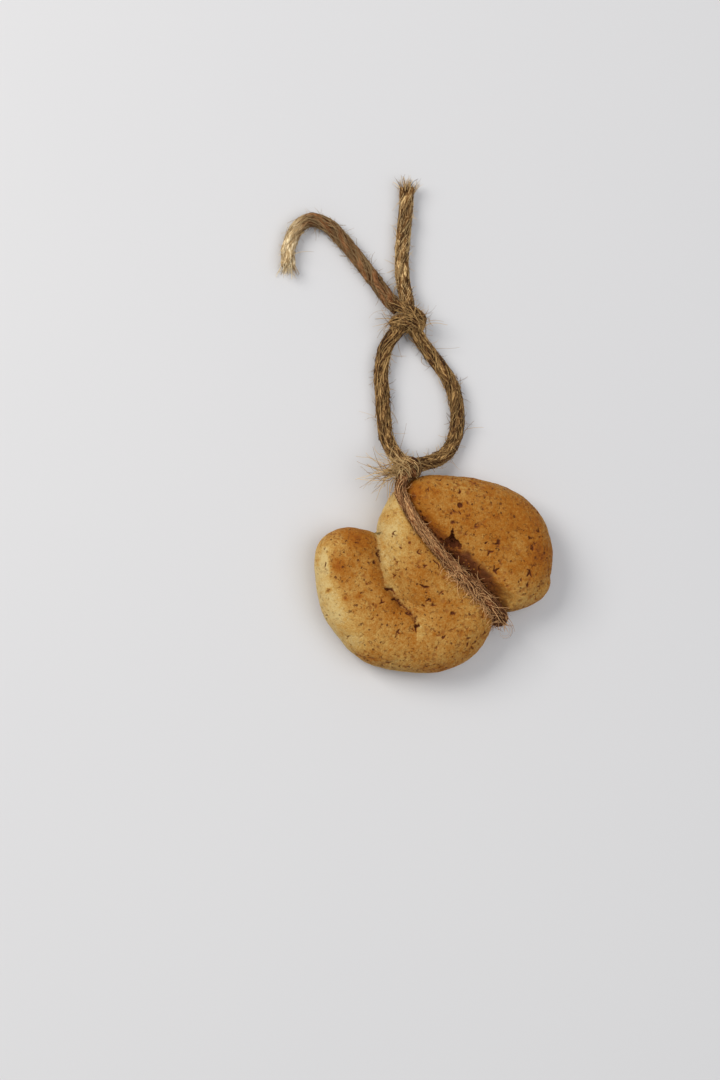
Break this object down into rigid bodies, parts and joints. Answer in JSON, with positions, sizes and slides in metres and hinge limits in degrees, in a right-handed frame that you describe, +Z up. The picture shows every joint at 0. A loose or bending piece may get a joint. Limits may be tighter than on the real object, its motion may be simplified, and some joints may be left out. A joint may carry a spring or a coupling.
{
  "type": "s-shaped biscuit",
  "caption": "Plump S-shaped baked biscuit with twine tied round one crease and a knotted hanging loop laid out beside it.",
  "frame": {"origin": "bottom centre of the box round the biscuit, its turn of twine and its lower knot, on the surface that the biscuit lies on", "axes": "+Z up out of the shown face, +X along the longest way across the biscuit, +Y towards the hanging loop"},
  "size_m": [0.0717, 0.1289, 0.0147],
  "materials": {
    "baked_dough": "dry matte golden-brown crust with fine dark pits, paler at its rim",
    "jute_twine": "three-ply natural jute, hairy and matte"
  },
  "bodies": {
    "root": {"cookie": "baked_dough", "twine_wrap": "jute_twine", "lower_knot": "jute_twine", "left_strand": "jute_twine", "right_strand": "jute_twine", "upper_knot": "jute_twine", "curled_end": "jute_twine", "straight_end": "jute_twine"}
  },
  "joints": []
}
